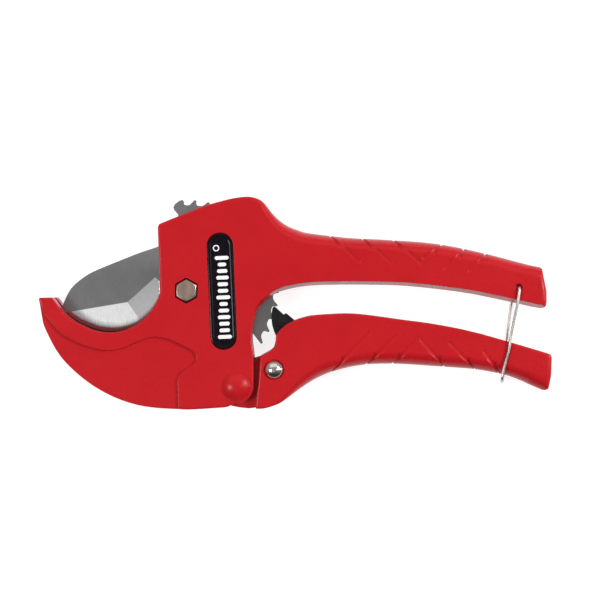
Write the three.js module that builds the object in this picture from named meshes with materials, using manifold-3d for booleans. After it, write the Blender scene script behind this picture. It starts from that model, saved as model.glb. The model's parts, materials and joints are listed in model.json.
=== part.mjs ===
// Ratcheting plastic-pipe cutter, closed and latched.
// Millimetres. The tool lies on its back: +X towards the handle ends, +Y towards the fixed handle, +Z up.
// Every outline is drawn about the blade pivot; the finished group is moved to its own origin at the end.
import * as THREE from "three";
import { mergeVertices } from "three/addons/utils/BufferGeometryUtils.js";
import Module from "manifold-3d";

const wasm = await Module();
wasm.setup();

// ---- driving dimensions ----
const THICK = 20; // head and pivot end of both castings
const MID = THICK / 2; // height of the blade plane
const TAPER_FROM = 45; // castings thin down beyond this distance from the blade pivot
const TAPER_PER_MM = 0.00177; // loss of thickness for each millimetre of handle
const SPINE_EDGE = [5.0, 8.0]; // rounding of the outer side of each handle: in plan, in height
const RIM_EDGE = [0.8, 0.8]; // rounding of all other cast edges
const PALM_EDGE = [1.3, 9.0]; // drafted inner side of the fixed handle
const END_EDGE = [2.0, 1.2]; // rounding of both handle ends
const HOOK_EDGE = [1.3, 2.2]; // rounding of the jaw's outer edge
const SHELL = 3.2; // cheek thickness of both hollow handles
const CRADLE = { x: -31.35, y: 4.58, r: 21.4 }; // pipe seat
const JAW_SLOT_R = 27.6; // slot in the jaw that takes the blade edge
const SLOT = [7.7, 12.3]; // height range of the blade slot
const BLADE = [8.5, 11.5]; // height range of the blade
const TIP_R = 37.1; // ratchet tooth tips
const ROOT_R = 34.9; // ratchet tooth roots
const TEETH = 15; // ratchet teeth below the thumb lug
const PITCH_DEG = 8.6; // ratchet pitch
const FIRST_TOOTH_DEG = -35.1; // lowest tooth tip
const HUB_R = 9.2; // blade hub
const HANDLE_PIVOT = { x: 20.2, y: -38.5 };
const PAWL_PIVOT = { x: 35.3, y: -31.8 };
const BAIL_PIVOT = { x: 134.1, y: 1.5 };
const RUN = 0.06; // running clearance on a radius
const FIT = 0.1; // looser clearance round fixed pins, heads and washers
const BOLT_R = 2.5;
const BOLT_FLATS = 8.0;
const BOLT_GAP = 1.1; // the bolt's pocket is this much wider across flats
const BOLT_SEAT = 16.6; // height of the pocket floor under the bolt's head
const NUT_WELL_R = 5.5;
const NUT_WELL_TOP = 5.4;
const NUT = [0.3, 3.8]; // heights of the parts stacked on the blade bolt, from the back
const NUT_INSERT = [0.4, 1.4];
const NUT_INSERT_R = 3.3;
const NUT_WASHER = [4.7, 5.3];
const NUT_WASHER_R = 4.9;
const SHIM_BACK = [7.8, 8.4];
const SHIM_FRONT = [11.6, 12.2];
const SHIM_R = 7.0;
const BUSH_R = 4.0; // blade bushing, outer
const HANDLE_PIN = { shank: 2.5, dome: 5.75, height: 2.4, tail: 3.7, tailTop: 1.2, seat: THICK + FIT };
const HANDLE_PIN_WASHER = [1.3, 1.9];
const HANDLE_WELL_R = 4.8; // rear well for the tail and washer of the handle pin
const HANDLE_WELL_TOP = 2.0;
const HANDLE_BUSH = [6.7, 13.3];
const PAWL_DOME_SUNK = 0.6; // depth of the dome's seat in the handle
const PAWL_PIN_SEAT = THICK - PAWL_DOME_SUNK + FIT;
const PAWL_PIN = { shank: 2.0, dome: 3.6, height: 1.9, tail: 3.0, tailTop: 1.1, seat: PAWL_PIN_SEAT };
const PAWL_PIN_WASHER = [1.2, 1.7];
const PAWL_WELL_R = 4.2;
const PAWL_WELL_TOP = 1.8;
const PAWL_SEAT_R = 4.1; // front seat round the dome of the pawl pin
const PAWL_BUSH = [6.6, 13.4];
const PAWL_BUSH_R = 2.7;
const WIRE_R = 0.6; // bail wire
const BAIL_HOLE_FRONT_R = 1.35;
const BAIL_HOLE_BACK_R = 0.8;
const FLANK_DEPTH = 1.0; // the jaw's flank lies this far below the rim
const POCKET = [3.6, 16.4]; // height range of the handle pocket in the head
const TONGUE = [
  [3.9, 6.5],
  [13.5, 16.1],
]; // the two ears of the moving handle
const PAWL_CHEEK = [
  [6.9, 8.1],
  [11.9, 13.1],
];
const WEB_STEP = 0.5; // the pawl's web stops this far inside the cheeks' outer faces
const NOSE = { x: 37.0, y: -9.92, r: 1.0 }; // pawl nose pin
const NOSE_HOLE = [7.2, 12.8]; // blind holes in both pawl cheeks
const LABEL = { x: 14.3, y: -0.2, width: 10.2, length: 46.8, tilt: 2.4 };
const LABEL_SEAT = 0.9; // depth of the label's recess
const LABEL_PLATE = [THICK - 0.8, THICK - 0.15];
const BEVEL_APEX = { x: -24.5, y: -4.6 }; // where the two bevels and the flat meet
const BEVEL_CORNER = { x: -16.1, y: -16.8 }; // foot of the ridge between the bevels
const BEVEL_LEAN = [9.5, 42]; // direction of each bevel's upper edge, in degrees
const BEVEL_DEPTH = 1.4;
const GROOVE_WIDTH = 2.2;
const GROOVE_DEPTH = 0.5;

// ---- outlines and solids ----
const rad = THREE.MathUtils.degToRad;

function at(list) {
  return list.map(([x, y]) => new THREE.Vector2(x, y));
}

function smooth(list, count) {
  return new THREE.SplineCurve(at(list)).getSpacedPoints(count);
}

function polar(r, deg, cx = 0, cy = 0) {
  return new THREE.Vector2(cx + r * Math.cos(rad(deg)), cy + r * Math.sin(rad(deg)));
}

function arc(cx, cy, r, fromDeg, toDeg, count) {
  const points = [];
  for (let i = 0; i <= count; i++) points.push(polar(r, fromDeg + ((toDeg - fromDeg) * i) / count, cx, cy));
  return points;
}

function solid(geometry) {
  const bare = geometry.clone();
  bare.deleteAttribute("normal");
  bare.deleteAttribute("uv");
  const merged = mergeVertices(bare, 1e-4);
  const mesh = new wasm.Mesh({
    numProp: 3,
    vertProperties: new Float32Array(merged.attributes.position.array),
    triVerts: new Uint32Array(merged.index.array),
  });
  return new wasm.Manifold(mesh);
}

function geometryOf(body) {
  const mesh = body.getMesh();
  const geometry = new THREE.BufferGeometry();
  geometry.setAttribute("position", new THREE.BufferAttribute(mesh.vertProperties, 3));
  geometry.setIndex(new THREE.BufferAttribute(mesh.triVerts, 1));
  return geometry;
}

function prism(points, z0, z1) {
  const shape = new THREE.Shape(points);
  const geometry = new THREE.ExtrudeGeometry(shape, { depth: z1 - z0, bevelEnabled: false });
  return solid(geometry.translate(0, 0, z0));
}

function rod(cx, cy, r, z0, z1, sides = 20) {
  return prism(arc(cx, cy, r, 0, 360 - 360 / sides, sides - 1), z0, z1);
}

// A round hole whose flats, not corners, lie at the radius.
function bore(cx, cy, r, z0, z1, sides = 20) {
  return rod(cx, cy, r / Math.cos(Math.PI / sides), z0, z1, sides);
}

function ring(cx, cy, inner, outer, z0, z1, sides = 20) {
  return rod(cx, cy, outer, z0, z1, sides).subtract(bore(cx, cy, inner, z0 - 1, z1 + 1, sides));
}

function turned(cx, cy, profile, sides = 20) {
  const geometry = new THREE.LatheGeometry(at(profile), sides);
  return solid(geometry.rotateX(Math.PI / 2).translate(cx, cy, 0));
}

function hexagon(cx, cy, flats) {
  return arc(cx, cy, flats / Math.sqrt(3), 30, 330, 5);
}

function union(list) {
  return list.reduce((all, one) => all.add(one));
}

function cut(body, list) {
  return list.reduce((rest, one) => rest.subtract(one), body);
}

function capsule(ax, ay, bx, by, width) {
  const turn = THREE.MathUtils.radToDeg(Math.atan2(by - ay, bx - ax));
  const near = arc(ax, ay, width / 2, turn + 90, turn + 270, 5);
  const far = arc(bx, by, width / 2, turn - 90, turn + 90, 5);
  return [...near, ...far];
}

// Moves each edge of a closed outline inwards by its own depth.
function inset(outline, depths) {
  const count = outline.length;
  const inward = outline.map((p, i) => {
    const q = outline[(i + 1) % count];
    return new THREE.Vector2(p.y - q.y, q.x - p.x).normalize();
  });
  return outline.map((p, i) => {
    const j = (i + count - 1) % count;
    const [m, n] = [inward[j], inward[i]];
    const cross = m.x * n.y - m.y * n.x;
    if (Math.abs(cross) < 0.15) {
      const mean = m.clone().add(n).normalize();
      return p.clone().addScaledVector(mean, (depths[i] + depths[j]) / 2);
    }
    const x = (depths[j] * n.y - depths[i] * m.y) / cross;
    const y = (depths[i] * m.x - depths[j] * n.x) / cross;
    return new THREE.Vector2(p.x + x, p.y + y);
  });
}

// A plate about the middle height whose edges are rounded by an amount that varies along the outline.
function roundedPlate(outline, edgeOf, half, steps = 3) {
  const count = outline.length;
  const edges = outline.map((p, i) => edgeOf(p.clone().add(outline[(i + 1) % count]).multiplyScalar(0.5)));
  const heights = edges.map((e, i) => (e[1] + edges[(i + count - 1) % count][1]) / 2);
  const rings = [];
  for (let k = -steps - 1; k <= steps; k++) {
    const side = k < 0 ? -1 : 1;
    const turn = ((k < 0 ? -k - 1 : k) / steps) * (Math.PI / 2);
    const flat = inset(outline, edges.map((e) => e[0] * (1 - Math.cos(turn))));
    rings.push(flat.map((p, i) => [p.x, p.y, MID + side * (half - heights[i] * (1 - Math.sin(turn)))]));
  }
  const index = [];
  for (let k = 0; k + 1 < rings.length; k++) {
    for (let i = 0; i < count; i++) {
      const a = k * count + i;
      const b = k * count + ((i + 1) % count);
      index.push(a, b, b + count, a, b + count, a + count);
    }
  }
  const last = (rings.length - 1) * count;
  const face = (points) => THREE.ShapeUtils.triangulateShape(at(points), []);
  face(rings[0]).forEach(([a, b, c]) => index.push(c, b, a));
  face(rings[rings.length - 1]).forEach(([a, b, c]) => index.push(last + a, last + b, last + c));
  const geometry = new THREE.BufferGeometry();
  geometry.setAttribute("position", new THREE.Float32BufferAttribute(rings.flat(2), 3));
  geometry.setIndex(index);
  return solid(geometry);
}

function block(x0, x1, y0, y1, z0, z1) {
  return prism(at([[x0, y0], [x1, y0], [x1, y1], [x0, y1]]), z0, z1);
}

// Thins a casting evenly about the middle height beyond TAPER_FROM.
function tapered(body) {
  const head = body.intersect(block(-100, TAPER_FROM, -100, 100, -10, 40));
  const tail = geometryOf(body.intersect(block(TAPER_FROM, 200, -100, 100, -10, 40)));
  const spots = tail.attributes.position;
  for (let i = 0; i < spots.count; i++) {
    const scale = 1 - TAPER_PER_MM * Math.max(0, spots.getX(i) - TAPER_FROM);
    spots.setZ(i, MID + (spots.getZ(i) - MID) * scale);
  }
  return head.add(solid(tail));
}

function blend(from, to, t) {
  const s = THREE.MathUtils.smoothstep(t, 0, 1);
  return [from[0] + (to[0] - from[0]) * s, from[1] + (to[1] - from[1]) * s];
}

// Grip grooves: each runs from a round inner end out over the spine, at an even depth below the skin.
function grooves(lines, outline, edgeOf) {
  const shrunk = inset(outline, outline.map(() => GROOVE_DEPTH));
  const tighter = (p) => edgeOf(p).map((e) => Math.max(e - GROOVE_DEPTH, 0.05));
  const core = roundedPlate(shrunk, tighter, MID - GROOVE_DEPTH);
  return union(
    lines.map(([ax, ay, bx, by]) => {
      const run = new THREE.Vector2(bx - ax, by - ay).setLength(4);
      return prism(capsule(ax, ay, bx + run.x, by + run.y, GROOVE_WIDTH), -5, THICK + 5);
    }),
  ).subtract(core);
}

// ---- body casting: jaw, head and fixed handle in one piece ----
const SPINE_LINE = [
  [139.2, 10.5], [132.3, 12.3], [121.9, 15.0], [108.1, 18.0], [96.3, 19.7], [80.4, 20.8], [66.5, 21.5],
  [57.8, 22.4], [48.6, 23.6],
];

const PALM_INNER = [
  [40.5, 0.6], [48.6, 2.0], [59.6, 2.5], [73.4, 2.5], [87.3, 2.1], [101.1, 0.8], [115.0, -1.1], [128.8, -3.9],
  [141.5, -6.75],
];

function bodyOutline() {
  const { x, y } = HANDLE_PIVOT;
  return [
    ...smooth([[-59.4, -2.8], [-58.5, -9.4], [-56.8, -15.8], [-49.6, -28.0], [-36.3, -39.2], [-20.6, -45.9],
      [-2.8, -47.8], [13.6, -47.1], [17.0, -46.6]], 26),
    ...arc(x, y, 6.9, -95, 0, 6),
    ...smooth([[27.1, -33.0], [27.0, -26.0], [26.4, -21.0], [26.3, -18.0], [26.7, -14.5], [27.9, -9.2],
      [29.4, -6.2], [32.4, -3.7], [36.0, -1.2], ...PALM_INNER], 36),
    ...at([[143.3, -7.05], [145.4, -7.4], [145.36, -4.4], [145.3, -0.1], [143.8, 9.3]]),
    ...smooth([...SPINE_LINE, [44.5, 24.8], [40.6, 26.4], [38.0, 28.1], [35.4, 30.4], [33.3, 32.9],
      [31.6, 35.1], [29.9, 36.6], [27.6, 37.5], [25.1, 37.9], [20.3, 37.5], [14.1, 36.1], [6.4, 33.8],
      [-1.2, 30.8], [-9.2, 27.6]], 52),
    ...at([[-11.0, 26.8], [-11.5, 25.6], [-11.3, 19.1], [-10.8, 12.2]]),
    ...arc(CRADLE.x, CRADLE.y, CRADLE.r, -14.9, -120, 18),
    ...smooth([[-43.9, -13.2], [-47.4, -10.8], [-49.7, -8.6], [-51.4, -6.4], [-53.2, -3.8]], 6),
    ...at([[-54.2, -2.7]]),
  ];
}

function bodyEdge(p) {
  if (p.x > 143.75 && p.y > -6.9) return END_EDGE;
  if (p.y > 8 && p.x > 22) return blend(RIM_EDGE, SPINE_EDGE, (p.x - 22) / 24);
  if (p.x > 27 && p.y > -12) return blend(RIM_EDGE, PALM_EDGE, (p.x - 27) / 8);
  if (p.x < -2 && p.y < -5 && Math.hypot(p.x - CRADLE.x, p.y - CRADLE.y) > 25) return HOOK_EDGE;
  return RIM_EDGE;
}

const BODY_GROOVES = [
  [69.7, 11.5, 59.4, 21.0],
  [82.5, 11.3, 71.9, 20.4],
  [94.4, 11.1, 84.3, 20.0],
  [95.6, 13.1, 102.4, 18.0],
  [104.4, 9.1, 112.1, 16.8],
  [114.1, 8.1, 120.9, 14.8],
];

// Room in the blade plane for the blade and its ratchet to swing.
function bladeSlot() {
  const [z0, z1] = SLOT;
  const sweep = [...arc(0, 0, TIP_R + 0.7, -106, 185, 44), new THREE.Vector2(0, 0)];
  const jaw = [...arc(CRADLE.x, CRADLE.y, JAW_SLOT_R, -26.7, -153, 20), ...at([[-56, 6], [-6.7, 6]])];
  return [prism(sweep, z0, z1), bore(0, 0, HUB_R + 2.4, z0, z1, 32), prism(jaw.reverse(), z0, z1)];
}

function handlePocket() {
  const { x, y } = HANDLE_PIVOT;
  const right = at([[17.1, -29.6], [x, y], [x + 1, -53], [36, -53], [36, -23.2]]);
  return [bore(x, y, 9.4, ...POCKET, 32), prism(right, ...POCKET)];
}

// The jaw's flank lies lower than the rim, label field and pivot boss on both faces.
function flankRecess() {
  const line = smooth([[-60, -4.6], [-58.2, -5.7], [-57.4, -8.8], [-54.8, -12.1], [-50.4, -17.0], [-44.2, -20.7],
    [-38.1, -22.9], [-31.9, -24.0], [-25.7, -23.1], [-19.5, -20.4], [-13.3, -18.6], [-7.1, -19.5], [-1.0, -22.3],
    [2.8, -24.4], [4.3, -27.3], [2.8, -29.4], [-1.6, -32.5], [-3.4, -35.6], [-3.2, -41.0], [-3.1, -52.0]], 40);
  const field = [...at([[-66, -52], [-66, -4.6]]), ...line];
  return [prism(field, THICK - FLANK_DEPTH, THICK + 1), prism(field, -1, FLANK_DEPTH)];
}

function labelField(grow, z0, z1) {
  const reach = (LABEL.length - LABEL.width) / 2;
  const lean = rad(90 + LABEL.tilt);
  const [dx, dy] = [Math.cos(lean) * reach, Math.sin(lean) * reach];
  return prism(capsule(LABEL.x - dx, LABEL.y - dy, LABEL.x + dx, LABEL.y + dy, LABEL.width + grow), z0, z1);
}

// The fixed handle is cored out from its open end.
function bodyCore() {
  const floor = PALM_INNER.slice(2).map(([x, y]) => [x, y + 4.4]);
  const roof = SPINE_LINE.slice(0, 8).map(([x, y]) => [x, y - 3.6]);
  return prism(at([[50, 7.0], ...floor, [150, -3.9], [150, 4.0], ...roof, [50, 19.2]]), SHELL, THICK - SHELL);
}

function bodyCasting() {
  const outline = bodyOutline();
  const plate = roundedPlate(outline, bodyEdge, MID);
  const { x, y } = HANDLE_PIVOT;
  return tapered(
    cut(plate, [
      ...bladeSlot(),
      ...handlePocket(),
      ...flankRecess(),
      bodyCore(),
      grooves(BODY_GROOVES, outline, bodyEdge),
      labelField(4 * FIT, THICK - LABEL_SEAT, THICK + 1),
      prism(hexagon(0, 0, BOLT_FLATS + BOLT_GAP), BOLT_SEAT, THICK + 1),
      bore(0, 0, BOLT_R + FIT, -1, THICK + 1),
      bore(0, 0, NUT_WELL_R, -1, NUT_WELL_TOP, 28),
      bore(x, y, HANDLE_PIN.shank + FIT, -1, THICK + 1),
      bore(x, y, HANDLE_WELL_R, -1, HANDLE_WELL_TOP, 28),
      bore(BAIL_PIVOT.x, BAIL_PIVOT.y, BAIL_HOLE_FRONT_R, MID, THICK + 1, 16),
      bore(BAIL_PIVOT.x, BAIL_PIVOT.y, BAIL_HOLE_BACK_R, -1, MID, 16),
      cornerRound(143.77, -5.51, 1.6, -99.5, 0.8),
      cornerRound(142.38, 8.02, 1.6, 9.1, 75.4),
      cornerRound(-58.55, -3.75, 1.0, 88, 180),
      cornerRound(-54.35, -3.75, 1.0, 28, 90),
    ]),
  );
}

// ---- blade with its ratchet sector ----
// One hooked tooth: degrees on from the middle of its tip, and share of the tooth depth.
const TOOTH = [
  [-1.5, 0.05], [-0.95, 0.3], [-0.75, 0.85], [-0.3, 1.0], [0.5, 1.0], [0.9, 0.85], [1.9, 0.5], [3.1, 0.15],
  [4.4, 0.0], [5.8, 0.0],
];

function ratchetTeeth() {
  const points = [];
  for (let i = 0; i < TEETH; i++) {
    const tip = FIRST_TOOTH_DEG + PITCH_DEG * i;
    const shape = i === 0 ? TOOTH.slice(2) : TOOTH;
    shape.forEach(([turn, share]) => points.push(polar(ROOT_R + (TIP_R - ROOT_R) * share, tip + turn)));
  }
  return points;
}

function bladeOutline() {
  const lug = [[-1.5, 35.2], [-1.55, 36.3], [-1.8, 36.95], [-2.4, 37.05], [-3.6, 36.6], [-5.3, 35.3],
    [-5.9, 34.0], [-5.5, 32.8]];
  return [
    ...ratchetTeeth(),
    ...at(lug),
    ...smooth([[-3.9, 31.0], [-4.1, 26.5], [-6.0, 22.6], [-9.0, 19.7], [-12.5, 17.9], [-19.6, 15.5], [-25.7, 13.1],
      [-33.9, 9.8], [-39.5, 7.3], [-43.1, 5.0], [-46.2, 2.4], [-48.3, -0.2], [-49.8, -3.2], [-50.8, -5.8],
      [-51.0, -8.0], [-48.3, -11.9]], 44),
    ...at([[-43.4, -18.9], [-37.0, -20.6], [-16.1, -16.8], [-11.8, -12.9], [-9.5, -8.9]]),
    ...arc(0, 0, HUB_R, -120, -6, 10),
    ...at([[26.4, -17.2]]),
  ];
}

// A cutter whose underside slopes: it grinds one bevel facet into the front of the blade.
function bevelCutter(field, heightAt) {
  const shape = new THREE.Shape(at(field));
  const geometry = new THREE.ExtrudeGeometry(shape, { depth: 1, bevelEnabled: false });
  const spots = geometry.attributes.position;
  for (let i = 0; i < spots.count; i++) {
    spots.setZ(i, spots.getZ(i) < 0.5 ? heightAt(spots.getX(i), spots.getY(i)) : THICK);
  }
  return solid(geometry);
}

// The edge is a shallow vee: two facets that meet in a ridge running down to the corner of the edge.
function frontBevels() {
  const [apex, corner] = [BEVEL_APEX, BEVEL_CORNER];
  const facet = (angle) => {
    const [nx, ny] = [Math.sin(rad(angle)), -Math.cos(rad(angle))];
    const width = (corner.x - apex.x) * nx + (corner.y - apex.y) * ny;
    return (x, y) => BLADE[1] - (BEVEL_DEPTH * ((x - apex.x) * nx + (y - apex.y) * ny)) / width;
  };
  const foot = [apex.x + (corner.x - apex.x) * 1.8, apex.y + (corner.y - apex.y) * 1.8];
  const [low, steep] = BEVEL_LEAN;
  const left = [[apex.x, apex.y], [-60, apex.y - (apex.x + 60) * Math.tan(rad(low))], [-60, -30], foot];
  const top = [-13.3, apex.y + (-13.3 - apex.x) * Math.tan(rad(steep))];
  const right = [[apex.x, apex.y], foot, [-11.6, -23], [-11.6, 4.2], top];
  return [bevelCutter(left, facet(low)), bevelCutter(right, facet(steep))];
}

function mirroredInHeight(body) {
  const geometry = geometryOf(body);
  const spots = geometry.attributes.position;
  for (let i = 0; i < spots.count; i++) spots.setZ(i, THICK - spots.getZ(i));
  const order = geometry.index.array;
  for (let i = 0; i < order.length; i += 3) [order[i], order[i + 1]] = [order[i + 1], order[i]];
  return solid(geometry);
}

function blade() {
  const plate = prism(bladeOutline(), ...BLADE);
  const bevels = frontBevels();
  return cut(plate, [...bevels, ...bevels.map(mirroredInHeight), bore(0, 0, BUSH_R + RUN, 0, THICK, 32)]);
}

// ---- blade bolt and what it clamps ----
function bladeBolt() {
  const [under, top] = [BOLT_SEAT + FIT, THICK - 0.2];
  const dome = turned(0, 0, [[0, under], [4.75, under], [4.75, top - 0.55], [3.8, top], [0, top]], 30);
  const head = prism(hexagon(0, 0, BOLT_FLATS), under, THICK).intersect(dome);
  return head.add(rod(0, 0, BOLT_R, NUT[0], under + 0.3));
}

function bladeNut() {
  return cut(prism(hexagon(0, 0, BOLT_FLATS), ...NUT), [
    bore(0, 0, BOLT_R + RUN, 0, NUT[1] + 1),
    bore(0, 0, NUT_INSERT_R + FIT, 0, NUT_INSERT[1] + FIT),
  ]);
}

function discSpring() {
  return turned(0, 0, [[2.8, 3.95], [4.9, 4.15], [4.9, 4.6], [2.8, 4.4], [2.8, 3.95]]);
}

// ---- pins ----
// A rivet with a domed head; the head's rim reaches down to the seat.
function rivet(pivot, { shank, dome, height, tail, tailTop, seat }) {
  const sphere = (dome * dome + height * height) / (2 * height);
  const crown = THICK + FIT + height;
  const cap = [];
  for (let i = 0; i < 4; i++) {
    const a = Math.asin(dome / sphere) * (1 - i / 4);
    cap.push([sphere * Math.sin(a), crown - sphere * (1 - Math.cos(a))]);
  }
  const foot = [[0, 0.2], [tail - 0.4, 0.2], [tail, 0.6], [tail, tailTop], [shank, tailTop], [shank, seat]];
  const rim = seat < THICK ? [[dome, seat]] : [];
  return turned(pivot.x, pivot.y, [...foot, ...rim, ...cap, [0, crown]]);
}

// ---- moving handle ----
const PALM_LINE = [
  [138.6, -37.9], [135.8, -36.6], [129.5, -34.3], [121.9, -32.7], [115.0, -31.7], [101.1, -30.7], [87.3, -29.8],
  [76.9, -29.7], [70.0, -30.3], [63.0, -31.7], [56.1, -33.9], [50.6, -36.6], [45.0, -40.2],
];

function handleOutline() {
  return [
    ...smooth([[27.9, -47.5], [30.9, -47.5], [34.7, -46.5], [38.6, -44.8], ...PALM_LINE.slice().reverse()], 34),
    ...at([[146.3, -41.3], [147.2, -34.0], [147.45, -27.1], [146.9, -25.6]]),
    ...smooth([[142.7, -24.3], [128.1, -20.0], [115.0, -16.4], [101.1, -13.6], [87.3, -11.7], [73.4, -9.8],
      [65.8, -9.2], [58.9, -9.4], [50.7, -10.0], [46.6, -10.9], [43.3, -12.1], [40.4, -13.5], [37.5, -16.0],
      [36.1, -18.0], [35.9, -20.1], [34.7, -23.4], [29.8, -26.4]], 36),
    ...at([[29.5, -30.0], [29.0, -37.5], [28.4, -41.4]]),
  ];
}

function handleEdge(p) {
  if (p.x > 146.35) return END_EDGE;
  const outer = p.y < -28 && p.x > 30;
  return outer ? blend(RIM_EDGE, SPINE_EDGE, (p.x - 34) / 20) : RIM_EDGE;
}

const HANDLE_GROOVES = [
  [73.9, -17.0, 59.8, -31.5],
  [84.3, -18.5, 73.5, -29.1],
  [93.6, -19.4, 84.3, -28.7],
  [94.8, -20.0, 102.7, -28.9],
  [106.4, -21.5, 116.1, -30.9],
  [120.1, -24.8, 125.5, -31.9],
];

function handleChannel() {
  const floor = PALM_LINE.slice(1, 11).map(([x, y]) => [x, y + 3.6]).reverse();
  const wide = at([[50, -31.5], ...floor, [143, -36.0], [143, 0], [50, 0]]);
  const narrow = at([[20, -43.2], [34, -42.2], [38.6, -40.3], [45, -35.8], [51, -31.0], [51, 0], [20, 0]]);
  return [prism(wide, SHELL, THICK - SHELL), prism(narrow, TONGUE[0][1], TONGUE[1][0])];
}

// Two ears that reach into the head and turn on the handle pin.
function handleEars() {
  const { x, y } = HANDLE_PIVOT;
  const outline = [
    ...arc(x, y, 8.3, 109, 257, 12),
    ...at([[21.3, -47.2], [25.1, -47.6], [28.2, -47.2], [33.5, -45.6], [36, -36], [33, -25.3], [29.7, -26.6],
      [27.7, -27.2]]),
  ];
  return TONGUE.map(([z0, z1]) => prism(outline, z0, z1));
}

// A cutter that rounds one sharp corner: the round runs about (cx, cy) and the corner lies outside it.
function cornerRound(cx, cy, r, fromDeg, toDeg) {
  const beyond = polar(r * 2.6, (fromDeg + toDeg) / 2, cx, cy);
  return prism([...arc(cx, cy, r, fromDeg, toDeg, 6).reverse(), beyond], -1, THICK + 1);
}

function movableHandle() {
  const outline = handleOutline();
  const shell = cut(roundedPlate(outline, handleEdge, MID), handleChannel());
  const { x, y } = PAWL_PIVOT;
  return tapered(
    cut(union([shell, ...handleEars()]), [
      grooves(HANDLE_GROOVES, outline, handleEdge),
      cornerRound(144.48, -38.09, 2.2, -113.8, -7),
      bore(HANDLE_PIVOT.x, HANDLE_PIVOT.y, HANDLE_PIN.shank + RUN, -1, THICK + 1),
      bore(x, y, PAWL_PIN.shank + FIT, -1, THICK + 1),
      bore(x, y, PAWL_WELL_R, -1, PAWL_WELL_TOP, 28),
      bore(x, y, PAWL_SEAT_R, THICK - PAWL_DOME_SUNK, THICK + 1, 28),
    ]),
  );
}

// ---- pawl ----
// Two cheeks beside the blade, joined by a web whose outer edge stands proud of them.
function pawlCheek() {
  const { x, y } = PAWL_PIVOT;
  return [
    ...arc(x, y, 4.5, 170, 380, 14),
    ...at([[43.0, -21.5], [45.0, -15.4], [42.9, -12.9], [38.9, -9.5], [35.8, -6.7], [35.1, -6.4], [34.5, -7.1],
      [34.2, -9.2], [34.1, -11.2], [34.4, -13.8], [35.2, -16.5], [36.4, -19.2], [36.4, -22.0], [34.0, -26.3]]),
  ];
}

function pawlWeb() {
  return at([[41.4, -27.5], [43.9, -21.5], [45.8, -15.2], [43.6, -12.0], [40.4, -9.3], [39.8, -9.1], [39.0, -9.8],
    [40.4, -11.4], [43.2, -13.9], [43.9, -15.3], [42.1, -21.9], [40.0, -27.9]]);
}

function pawl() {
  const { x, y } = PAWL_PIVOT;
  const [back, front] = PAWL_CHEEK;
  const cheeks = PAWL_CHEEK.map(([z0, z1]) => prism(pawlCheek(), z0, z1));
  const web = prism(pawlWeb(), back[0] + WEB_STEP, front[1] - WEB_STEP);
  return cut(union([...cheeks, web]), [
    bore(x, y, PAWL_BUSH_R + RUN, 0, THICK),
    bore(NOSE.x, NOSE.y, NOSE.r + RUN, ...NOSE_HOLE, 16),
  ]);
}

// ---- wire parts ----
function wire(points, radius, steps, sides) {
  const path = new THREE.CatmullRomCurve3(points, false, "centripetal");
  const section = new THREE.Shape(arc(0, 0, radius, 0, 360 - 360 / sides, sides - 1));
  return solid(new THREE.ExtrudeGeometry(section, { steps, extrudePath: path, bevelEnabled: false }));
}

// A coil between two heights with a straight leg at each end.
function torsionSpring(centre, { mean, heights: [z0, z1], turns, from: fromDeg, to: toDeg, legs, radius }) {
  const points = [];
  const sweep = 360 * turns + (toDeg - fromDeg);
  const count = Math.round(sweep / 26);
  const spot = (deg, z) => {
    return new THREE.Vector3(centre.x + mean * Math.cos(rad(deg)), centre.y + mean * Math.sin(rad(deg)), z);
  };
  const leave = (deg, z, length, side) => {
    const start = spot(deg, z);
    const along = new THREE.Vector3(-Math.sin(rad(deg)), Math.cos(rad(deg)), 0).multiplyScalar(side * length);
    return start.add(along);
  };
  points.push(leave(fromDeg, z0, legs[0], -1), leave(fromDeg, z0, legs[0] / 2, -1));
  for (let i = 0; i <= count; i++) {
    points.push(spot(fromDeg + (sweep * i) / count, z0 + ((z1 - z0) * i) / count));
  }
  points.push(leave(fromDeg + sweep, z1, legs[1] / 2, 1), leave(fromDeg + sweep, z1, legs[1], 1));
  return wire(points, radius, count + 14, 6);
}

function returnSpring() {
  const size = { mean: 4.25, heights: [7.4, 12.6], turns: 4, from: 250, to: 278, legs: [6.5, 10], radius: 0.55 };
  return torsionSpring(HANDLE_PIVOT, size);
}

function pawlSpring() {
  const size = { mean: 3.4, heights: [8.7, 11.3], turns: 2, from: 10, to: 352, legs: [6, 8], radius: 0.35 };
  return torsionSpring(PAWL_PIVOT, size);
}

// Both legs hook into one hole; the rear leg stands a little further out where the wire rounds the lower handle.
function lockBail() {
  const { x, y } = BAIL_PIVOT;
  const top = 19.28;
  const hook = [[x, y, 15.2], [x, y, 17.4], [x, y, 18.9], [x - 0.05, y - 0.9, top]];
  const front = [...hook, [133.5, -4.4, top], [131.9, -12.0, top], [130.6, -18.7, top], [129.7, -24.5, top],
    [128.4, -29.0, top], [127.5, -32.6, top], [127.1, -35.4, 19.1], [127.2, -36.6, 17.6]];
  const back = [...hook, [133.3, -4.4, top], [132.4, -12.0, top], [131.5, -20.0, top], [130.6, -28.0, top],
    [130.0, -33.6, top], [129.7, -35.6, 19.0], [129.4, -36.7, 17.4]];
  const points = front.map(([a, b, c]) => new THREE.Vector3(a, b, c));
  points.push(new THREE.Vector3(128.3, -37.0, MID));
  points.push(...back.map(([a, b, c]) => new THREE.Vector3(a, b, THICK - c)).reverse());
  return wire(points, WIRE_R, 72, 6);
}

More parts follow.
